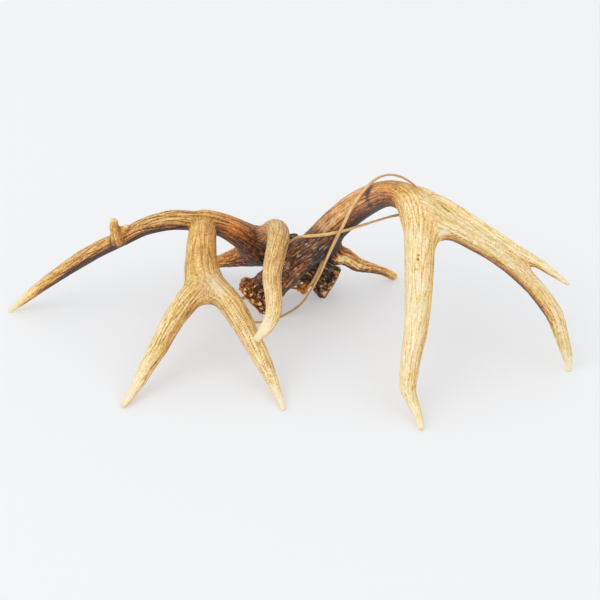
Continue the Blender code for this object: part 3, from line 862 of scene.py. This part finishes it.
def tine_facts(tine, bone, place, way, seed, groove_depth):
    """Depth and looks of the places that are near one tine."""
    # The lower side is painted darker, partly as a stain and partly as painted shade.
    down = np.clip(0.5 - way[:, 2], 0, 1) ** 1.2
    stain_and_shade_below = tine.fact("stain_and_shade_below", place) * down
    # 1 on the foot's flat face, and 0 from the bend of its edge on.
    flat = np.clip(5 * (way @ -tine.way[0]) - 3.9, 0, 1) * (place < 0.5)
    tone = tine.fact("tone", place)
    carve = tine.fact("groove", place)
    groove, scratch, swell = grooves(bone, seed)
    height = tine.fact("pearl", place) * (1 - FACE_SMOOTHER * flat)
    shape, worn, relief = pearls(bone, height, seed)
    # The tone gets painted light towards the key light's side and painted shade away from it.
    return {
        "tone": tone - stain_and_shade_below + PAINTED_LIGHT_STRENGTH * (way @ PAINTED_LIGHT_SIDE) + FACE_PALER * flat,
        "warm": tine.fact("warm", place) + UNDER_WARMER * stain_and_shade_below,
        "grey": tine.fact("grey", place),
        "depth": carve * (0.7 * swell - groove - 0.35 * scratch) * groove_depth + relief,
        "furrow": carve * (groove + 0.4 * scratch - 0.35),
        "lined": 0.42 + 0.95 * carve,
        "pearl": shape,
        "worn": worn,
        # painted highlights on the dark bone, fewer where it faces down
        "painted_highlight": np.clip(1.5 - 5 * tone, 0, 1) * (1 - 0.8 * down),
    }


def add_marks(facts, points, marks):
    """The small features: each is strongest at its place and fades out over its radius."""
    for place, radius, *changes in marks:
        off = np.linalg.norm(points - (np.array(place) + PLACE), axis=1)
        share = np.exp(-((off / radius) ** 2))
        for name, change in zip(("depth", "tone", "warm", "grey"), changes):
            facts[name] += change * share


def surface_facts(points, way, reaches, tines, marks, settings):
    """Depth and looks over the skin: each tine's own, blended where tines meet."""
    gaps = columns(*[reach[0] for reach in reaches])
    shares = np.exp(-(gaps - gaps.min(axis=1, keepdims=True)) / BLEND)
    shares /= shares.sum(axis=1, keepdims=True)
    order = np.argsort(-shares, axis=1)
    facts = {}
    grain = [np.zeros_like(points), np.zeros_like(points)]
    for number, (tine, reach) in enumerate(zip(tines, reaches)):
        first_two = (order[:, :2] == number).any(axis=1)
        near = np.flatnonzero((shares[:, number] > LEAST_SHARE) | first_two)
        _, place, foot = (part[near] for part in reach)
        bone = Bone(tine, points[near], place, foot)
        seed = SEED_STEP * number
        own = tine_facts(tine, bone, place, way[near], seed, settings.groove_depth / MM)
        for name, values in own.items():
            facts.setdefault(name, np.zeros(len(points)))[near] += shares[near, number] * values
        for rank in (0, 1):
            mine = order[near, rank] == number
            grain[rank][near[mine]] = (bone.flat(GRAIN_STRETCH) + (0, 0, seed))[mine]
    add_marks(facts, points, marks)
    ranked = np.take_along_axis(shares, order[:, :2], axis=1)
    facts["second"] = ranked[:, 1] / ranked.sum(axis=1)
    facts["grain"], facts["grain_second"] = grain
    return facts


def write_fact(mesh, name, values):
    kind, part = ("FLOAT_VECTOR", "vector") if values.ndim == 2 else ("FLOAT", "value")
    layer = mesh.attributes.new(name, kind, "POINT")
    layer.data.foreach_set(part, values.astype(np.float32).ravel())


def hollows(points, ends, mesh):
    """How hollow the skin is at each vertex: -1 on sharp ridges, 1 in sharp hollows."""
    normals = np.empty(len(points) * 3)
    mesh.vertex_normals.foreach_get("vector", normals)
    normals = normals.reshape(-1, 3)
    found = np.zeros(len(points))
    spread = points
    for weight in HOLLOW_WEIGHTS:
        spread = neighbour_mean(spread, ends)
        found += ((spread - points) * normals).sum(1) * weight
    return np.clip(found, -1, 1)


def grow_antler(name, material):
    """One antler as one piece: skin, burr, pearls and grooves."""
    settings = bpy.context.scene.antler_settings
    facts, marks, nodes = ANTLERS[name]
    tines = [Tine(tine) for tine in facts.values()]
    body = one_body(name, facts, settings.mesh_size)
    refine(body, tines[0].at[STEPS], BURR_REACH)  # the beam's second row is the burr's rim
    mesh = body.data
    ends = edge_ends(mesh)
    points = draw_on(read_points(mesh), ends, tines)
    _, way, reaches = skin(points, tines)
    found = surface_facts(points, way, reaches, tines, marks, settings)
    points = points + way * found.pop("depth")[:, None]
    points[:, 2] = np.maximum(points[:, 2], LOWEST)
    write_points(mesh, points)
    found["hollow"] = hollows(points, ends, mesh)
    for key, values in found.items():
        write_fact(mesh, key, values)
    pick(body)
    bpy.ops.object.shade_smooth()
    mesh.materials.clear()
    mesh.materials.append(material)
    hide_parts(*nodes)
    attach(body, BODY)


# ------------------------------------------------------------------- materials


class Wires:
    """Short ways to add and join shader nodes."""

    def __init__(self, tree):
        self.tree = tree

    def add(self, kind, inputs=None, **options):
        node = self.tree.nodes.new(kind)
        for key, value in options.items():
            setattr(node, key, value)
        for key, value in (inputs or {}).items():
            self.set(node.inputs[key], value)
        return node

    def set(self, socket, value):
        if isinstance(value, bpy.types.NodeSocket):
            self.tree.links.new(value, socket)
        else:
            socket.default_value = value

    def math(self, operation, a, b=0.0, clamp=False):
        node = self.add("ShaderNodeMath", {0: a, 1: b}, operation=operation, use_clamp=clamp)
        return node.outputs[0]

    def add_up(self, total, *parts):
        """The total plus each part, which is a value and its factor."""
        for value, factor in parts:
            total = self.math("ADD", total, self.math("MULTIPLY", value, factor))
        return total

    def mix(self, share, a, b, blend="MIX"):
        node = self.add("ShaderNodeMix", data_type="RGBA", blend_type=blend)
        for socket, value in ((node.inputs[0], share), (node.inputs[6], a), (node.inputs[7], b)):
            self.set(socket, value)
        return node.outputs[2]

    def map(self, value, low, high, new_low=0.0, new_high=1.0):
        node = self.add(
            "ShaderNodeMapRange",
            {"Value": value, "From Min": low, "From Max": high, "To Min": new_low, "To Max": new_high},
        )
        return node.outputs["Result"]

    def ramp(self, value, stops):
        node = self.add("ShaderNodeValToRGB", {"Fac": value})
        elements = node.color_ramp.elements
        while len(elements) < len(stops):
            elements.new(0.5)
        for element, (place, colour) in zip(elements, stops):
            element.position = place
            element.color = (*colour, 1.0)
        return node.outputs["Color"]

    def scaled(self, vector, size):
        node = self.add("ShaderNodeVectorMath", {0: vector}, operation="SCALE")
        self.set(node.inputs["Scale"], size)
        return node.outputs["Vector"]

    def noise(self, vector, size, detail=2.0, rough=0.55):
        node = self.add(
            "ShaderNodeTexNoise",
            {"Vector": vector, "Scale": size, "Detail": detail, "Roughness": rough},
        )
        return node.outputs["Fac"]

    def fact(self, name, vector=False):
        node = self.add("ShaderNodeAttribute", attribute_name=name)
        return node.outputs["Vector" if vector else "Fac"]


def new_group(name, inputs, outputs):
    """A shader node group with its sockets, and its two end nodes."""
    group = bpy.data.node_groups.new(name, "ShaderNodeTree")
    for direction, sockets in (("INPUT", inputs), ("OUTPUT", outputs)):
        for label, kind, default in sockets:
            socket = group.interface.new_socket(label, in_out=direction, socket_type=kind)
            if default is not None:
                socket.default_value = default
    wires = Wires(group)
    start = wires.add("NodeGroupInput")
    end = wires.add("NodeGroupOutput")
    return group, wires, start.outputs, end.inputs


def grain_group():
    """Streaks, fine lines, hairlines and flecks along the bone, and the pattern of the painted
    highlights, from its grain places.
    """
    group, wires, given, out = new_group(
        "bone_grain",
        [(label, FLOAT, size) for label, size, _ in GRAINS],
        [(label, FLOAT, None) for label in ("Streaks", "Lines", "Cracks", "Flecks", "Painted highlights")],
    )
    share = wires.fact("second")
    found = []
    for label, _, shortness in GRAINS:
        stretch = wires.add("ShaderNodeCombineXYZ", {0: 1.0, 1: 1.0, 2: shortness}).outputs[0]
        sides = []
        for name in ("grain", "grain_second"):
            place = wires.scaled(wires.fact(name, vector=True), given[label])
            place = wires.add("ShaderNodeVectorMath", {0: place, 1: stretch}, operation="MULTIPLY")
            sides.append(wires.noise(place.outputs["Vector"], 1.0, 3.0))
        mixed = wires.add("ShaderNodeMix", {0: share, 2: sides[0], 3: sides[1]}, data_type="FLOAT")
        found.append(mixed.outputs[0])
    streaks, lines, flecks = found
    wires.set(out["Streaks"], wires.map(streaks, 0.32, 0.68))
    wires.set(out["Lines"], wires.map(lines, 0.34, 0.66))
    off_middle = wires.math("ABSOLUTE", wires.math("SUBTRACT", lines, 0.5))
    wires.set(out["Cracks"], wires.map(off_middle, 0.03, 0.0))
    wires.set(out["Flecks"], wires.map(flecks, 0.56, 0.66))
    wires.set(out["Painted highlights"], wires.map(flecks, 0.45, 0.37))
    return group


def bone_tone(wires, grain, own, blotches, dark):
    """How pale the bone is: the skin's own tone, changed by the grain, by noise and by the relief."""
    pattern = wires.add_up(
        wires.map(grain["Streaks"], 0.0, 1.0, -0.1, 0.04),
        (grain["Lines"], 0.15),
        (grain["Cracks"], -0.1),
        (grain["Flecks"], -0.2),
    )
    specks = wires.noise(own, 420.0, 2.0, 0.65)
    return wires.add_up(
        wires.fact("tone"),
        (pattern, wires.fact("lined")),
        (wires.map(blotches, 0.3, 0.7, -1.0, 1.0), 0.06),
        (wires.map(specks, 0.35, 0.65, -1.0, 1.0), 0.08),
        (wires.fact("furrow"), -0.15),
        # the hollows darker, as dirt and painted shade, and the ridges paler as wear
        (wires.fact("hollow"), -0.3),
        (wires.fact("worn"), 3.2),
        (wires.math("MULTIPLY", wires.fact("pearl"), dark), 0.34),
    )


def bone_colour(wires, tone, grain, own, blotches, dark, settings):
    """The tone's colour, made warmer or greyer where the skin's facts say so, with fine painted
    highlights on the dark bone.
    """
    colour = wires.ramp(
        tone,
        [
            (0.0, settings.darkest[:]),
            (0.2, DARK_BROWN),
            (0.4, BROWN),
            (0.6, settings.golden[:]),
            (0.8, STRAW),
            (1.0, settings.ivory[:]),
        ],
    )
    hues = wires.map(wires.noise(own, 42.0, 2.0), 0.4, 0.6)
    colour = wires.mix(1.0, colour, wires.mix(hues, ROSY, YELLOWISH), "MULTIPLY")
    warm = wires.math("MULTIPLY", wires.fact("warm"), wires.map(blotches, 0.35, 0.65, 0.3, 1.0))
    warm = wires.math("MULTIPLY", warm, wires.map(dark, 0.0, 1.0, 0.7, 0.42), clamp=True)
    colour = wires.mix(warm, colour, wires.mix(1.0, colour, RUSTY, "MULTIPLY"))
    colour = wires.mix(wires.fact("grey"), colour, wires.mix(0.4, colour, WEATHERED))
    # Painted highlights: pale glints on the dark bone, in clusters.
    painted_highlight_patches = wires.math("MULTIPLY", wires.fact("painted_highlight"), wires.map(blotches, 0.4, 0.6, 0.15, 0.75))
    painted_highlights = wires.math("MULTIPLY", grain["Painted highlights"], painted_highlight_patches)
    return wires.mix(painted_highlights, colour, (*settings.painted_highlight, 1.0))


def bone_relief(wires, grain, own, dark):
    """Relief too fine for the mesh: lines along the grain, and the dark bone's rough skin."""
    rugged = wires.map(dark, 0.0, 1.0, 0.3, 2.4)
    height = wires.add_up(
        wires.math("MULTIPLY", wires.noise(own, 330.0, 3.0, 0.65), rugged),
        (grain["Lines"], 0.6),
        (grain["Cracks"], -0.5),
        (grain["Flecks"], -0.5),
    )
    bump = wires.add("ShaderNodeBump", {"Height": height, "Strength": 0.7, "Distance": 0.0006})
    return bump.outputs["Normal"]


def bone_material(name, settings):
    material = bpy.data.materials.new(name)
    material.use_nodes = True
    wires = Wires(material.node_tree)
    shader = material.node_tree.nodes["Principled BSDF"]
    group = bpy.data.node_groups.get("bone_grain") or grain_group()
    grain = wires.add("ShaderNodeGroup", node_tree=group).outputs
    own = wires.add("ShaderNodeTexCoord").outputs["Object"]
    blotches = wires.noise(own, 75.0, 3.0, 0.6)
    dark = wires.map(wires.fact("tone"), 0.42, 0.2)
    tone = bone_tone(wires, grain, own, blotches, dark)
    colour = bone_colour(wires, tone, grain, own, blotches, dark, settings)
    rough = wires.add_up(wires.map(grain["Streaks"], 0.0, 1.0, 0.42, 0.6), (dark, -0.18))
    wires.set(shader.inputs["Base Color"], colour)
    wires.set(shader.inputs["Roughness"], rough)
    wires.set(shader.inputs["Normal"], bone_relief(wires, grain, own, dark))
    shader.inputs["Specular IOR Level"].default_value = 0.32
    return material


def leather_material(settings):
    material = bpy.data.materials.new("lace_leather")
    material.use_nodes = True
    wires = Wires(material.node_tree)
    shader = material.node_tree.nodes["Principled BSDF"]
    streaks = wires.noise(wires.fact("lace_place", vector=True), 1.0, 3.0)
    own = wires.add("ShaderNodeTexCoord").outputs["Object"]
    pores = wires.noise(own, 900.0, 2.0)
    colour = settings.colour[:]
    darker = tuple(part * factor for part, factor in zip(colour, DARKER_LEATHER))
    paler = tuple(min(part * 1.25 + 0.06, 1.0) for part in colour)
    shade = wires.ramp(streaks, [(0.3, darker), (0.5, colour), (0.7, paler)])
    darker_edges = wires.math("MULTIPLY", wires.fact("edge"), 0.55)
    shade = wires.mix(darker_edges, shade, (*darker, 1.0))
    knotted = wires.fact("knotted")
    shade = wires.mix(knotted, shade, wires.mix(1.0, shade, SINGED, "MULTIPLY"))
    rough = wires.add_up(wires.map(pores, 0.3, 0.7, 0.4, 0.55), (knotted, -0.2))
    bump = wires.add("ShaderNodeBump", {"Height": pores, "Strength": 0.25, "Distance": 0.0002})
    wires.set(shader.inputs["Base Color"], shade)
    wires.set(shader.inputs["Roughness"], rough)
    wires.set(shader.inputs["Normal"], bump.outputs["Normal"])
    return material


# -------------------------------------------------------------------- the lace


def lace_faces(rings, closed):
    """Four-sided faces from ring to ring, and an end face at each open end."""
    faces = []
    for ring in range(rings if closed else rings - 1):
        here, after = ring * LACE_SIDES, (ring + 1) % rings * LACE_SIDES
        for side in range(LACE_SIDES):
            over = (side + 1) % LACE_SIDES
            faces.append((here + side, here + over, after + over, after + side))
    if not closed:
        faces.append(tuple(range(LACE_SIDES))[::-1])
        faces.append(tuple((rings - 1) * LACE_SIDES + side for side in range(LACE_SIDES)))
    return faces


def swept_lace(name, line, sides_up, width, thickness, closed=False):
    """A flat lace with rounded edges along a line, its flat side towards sides_up."""
    ways = unit(np.roll(line, -1, 0) - np.roll(line, 1, 0) if closed else np.gradient(line, axis=0))
    up = unit(sides_up - ways * (sides_up * ways).sum(1)[:, None])
    across = np.cross(ways, up)
    angles = np.arange(LACE_SIDES) / LACE_SIDES * math.tau
    wide = np.sign(np.cos(angles)) * np.abs(np.cos(angles)) ** SQUARENESS * width / 2
    thick = np.sign(np.sin(angles)) * np.abs(np.sin(angles)) ** SQUARENESS * thickness / 2
    rings = line[:, None] + across[:, None] * wide[:, None] + up[:, None] * thick[:, None]
    mesh = bpy.data.meshes.new(name)
    mesh.from_pydata((rings.reshape(-1, 3) * MM).tolist(), [], lace_faces(len(line), closed))
    mesh.update()
    piece = bpy.data.objects.new(name, mesh)
    bpy.context.scene.collection.objects.link(piece)
    pick(piece)
    bpy.ops.object.mode_set(mode="EDIT")
    bpy.ops.mesh.select_all(action="SELECT")
    bpy.ops.mesh.normals_make_consistent(inside=False)
    bpy.ops.object.mode_set(mode="OBJECT")
    bpy.ops.object.shade_smooth()
    places = np.zeros((len(line), LACE_SIDES, 3))
    places[..., 0] = wide
    places[..., 1] = thick
    places[..., 2] = distances_along(line)[:, None]
    write_fact(mesh, "lace_place", places.reshape(-1, 3) * LEATHER_GRAIN)
    write_fact(mesh, "edge", np.tile(np.abs(np.cos(angles)) ** 4, len(line)))
    return piece


def steady(values, width):
    """Values averaged along the line over width samples to each side."""
    kernel = np.hanning(2 * width + 3)[1:-1]
    kernel /= kernel.sum()
    padded = np.vstack([np.repeat(values[:1], width, 0), values, np.repeat(values[-1:], width, 0)])
    return columns(*[np.convolve(padded[:, axis], kernel, "valid") for axis in range(3)])


def away_from_bone(line):
    """The way out of the nearer antler at each place on the line, evened out along it."""
    nearest, up = np.full(len(line), np.inf), np.zeros_like(line)
    for facts, _, _ in ANTLERS.values():
        gap, way, _ = skin(line, [Tine(tine) for tine in facts.values()])
        up = np.where((gap < nearest)[:, None], way, up)
        nearest = np.minimum(gap, nearest)
    return steady(up, LACE_CALM)


def knot_line():
    """A tight overhand knot's line, around the place where the lace's ends meet."""
    turn = np.arange(KNOT_RINGS) / KNOT_RINGS * math.tau
    loops = columns(
        np.sin(turn) + 2 * np.sin(2 * turn),
        np.cos(turn) - 2 * np.cos(2 * turn),
        -np.sin(3 * turn),
    )
    tilt, swing = (math.radians(angle) for angle in KNOT_TURNS)
    turned = np.array(Matrix.Rotation(tilt, 3, "X") @ Matrix.Rotation(swing, 3, "Z"))
    return loops * KNOT_SIZE @ turned.T + KNOT_PLACE + PLACE


# --------------------------------------------------------------- the operators


class ANTLERS_OT_camera(bpy.types.Operator):
    """Place the camera in front of the pair and above it"""

    bl_idname = "antlers.camera"
    bl_label = "Camera"

    def execute(self, context):
        tilt = math.radians(CAMERA_ELEVATION)
        target = Vector(CAMERA_TARGET) * MM
        back = Vector((0.0, -math.cos(tilt), math.sin(tilt)))
        bpy.ops.object.camera_add(
            location=target + back * CAMERA_DISTANCE * MM,
            rotation=(math.pi / 2 - tilt, 0.0, 0.0),
        )
        camera = context.object
        camera.name = "camera"
        camera.data.sensor_width = CAMERA_SENSOR
        camera.data.lens = CAMERA_LENS
        camera.data.shift_y = CAMERA_SHIFT
        context.scene.camera = camera
        return {"FINISHED"}


class ANTLERS_OT_lace(bpy.types.Operator):
    """Add the leather lace and its knot"""

    bl_idname = "antlers.lace"
    bl_label = "Lace and knot"

    def execute(self, context):
        settings = context.scene.lace_settings
        width, thickness = settings.width / MM, settings.thickness / MM
        material = leather_material(settings)
        line = smooth_rows(LACE_ROUTE, LACE_STEPS) + PLACE
        turns = knot_line()
        centre = turns.mean(axis=0)
        strand = swept_lace("leather_lace", line, away_from_bone(line), width, thickness)
        knot = swept_lace(
            "leather_knot",
            turns,
            unit(turns - centre),
            width * KNOT_WIDTH,
            thickness * KNOT_THICKNESS,
            closed=True,
        )
        both = ((strand, line, 0.0, "lace"), (knot, turns, 1.0, "lace_knot"))
        for piece, places, least, node in both:
            off = np.linalg.norm(places - centre, axis=1)
            knotted = np.maximum(least, np.clip(1.2 - off / KNOT_STAIN, 0, 1))
            write_fact(piece.data, "knotted", np.repeat(knotted, LACE_SIDES))
            piece.data.materials.append(material)
            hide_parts(node)
            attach(piece, BODY)
        return {"FINISHED"}


class ANTLERS_OT_right_antler(bpy.types.Operator):
    """Grow the right antler"""

    bl_idname = "antlers.right_antler"
    bl_label = "Right antler"

    def execute(self, context):
        grow_antler("right_antler", bone_material("right_bone", context.scene.antler_settings))
        return {"FINISHED"}


class ANTLERS_OT_left_antler(bpy.types.Operator):
    """Grow the left antler"""

    bl_idname = "antlers.left_antler"
    bl_label = "Left antler"

    def execute(self, context):
        grow_antler("left_antler", bone_material("left_bone", context.scene.antler_settings))
        return {"FINISHED"}


class ANTLERS_OT_stage(bpy.types.Operator):
    """Add the floor, the lamps and the sky"""

    bl_idname = "antlers.stage"
    bl_label = "Stage"

    def execute(self, context):
        settings = context.scene.stage_settings
        clear_selection()
        bpy.ops.mesh.primitive_plane_add(size=FLOOR_SIZE, location=(0.0, 0.0, 0.0))
        floor = context.object
        floor.name = "floor"
        material = bpy.data.materials.new("pale_floor")
        material.use_nodes = True
        shader = material.node_tree.nodes["Principled BSDF"]
        shader.inputs["Base Color"].default_value = (*settings.floor_colour, 1.0)
        shader.inputs["Roughness"].default_value = 0.9
        shader.inputs["Emission Color"].default_value = (1.0, 1.0, 1.0, 1.0)
        shader.inputs["Emission Strength"].default_value = settings.glow
        floor.data.materials.append(material)
        for name, place, size, share, tint in LAMPS:
            bpy.ops.object.light_add(type="AREA", location=place)
            lamp = context.object
            lamp.name = name
            lamp.data.shape = "DISK"
            lamp.data.size = size
            lamp.data.energy = settings.key_power * share
            lamp.data.color = tint
            lamp.rotation_euler = (-Vector(place)).to_track_quat("-Z", "Y").to_euler()
        world = bpy.data.worlds.new("pale_sky")
        context.scene.world = world
        world.use_nodes = True
        sky = world.node_tree.nodes["Background"]
        sky.inputs["Color"].default_value = SKY_TINT
        sky.inputs["Strength"].default_value = settings.sky
        context.scene.view_settings.view_transform = "Standard"
        return {"FINISHED"}


OPERATORS = (
    ANTLERS_OT_camera,
    ANTLERS_OT_lace,
    ANTLERS_OT_right_antler,
    ANTLERS_OT_left_antler,
    ANTLERS_OT_stage,
)


class ANTLERS_PT_parts(bpy.types.Panel):
    bl_label = "Tied Deer Antlers"
    bl_idname = "ANTLERS_PT_parts"
    bl_space_type = "VIEW_3D"
    bl_region_type = "UI"
    bl_category = "Antlers"

    def draw(self, context):
        scene = context.scene
        for settings in (scene.antler_settings, scene.lace_settings, scene.stage_settings):
            box = self.layout.box()
            for name in settings.bl_rna.properties.keys():
                if name not in ("rna_type", "name"):
                    box.prop(settings, name)
        for operator in OPERATORS:
            self.layout.operator(operator.bl_idname)


SETTINGS = {
    "antler_settings": AntlerSettings,
    "lace_settings": LaceSettings,
    "stage_settings": StageSettings,
}


def register():
    for kind in (*SETTINGS.values(), *OPERATORS, ANTLERS_PT_parts):
        bpy.utils.register_class(kind)
    for name, kind in SETTINGS.items():
        setattr(bpy.types.Scene, name, PointerProperty(type=kind))


def unregister():
    for name in SETTINGS:
        delattr(bpy.types.Scene, name)
    for kind in (ANTLERS_PT_parts, *reversed(OPERATORS), *reversed(SETTINGS.values())):
        bpy.utils.unregister_class(kind)


def main():
    register()
    bpy.ops.antlers.camera()
    bpy.ops.antlers.lace()
    bpy.ops.antlers.right_antler()
    bpy.ops.antlers.left_antler()
    bpy.ops.antlers.stage()


if __name__ == "__main__":
    main()
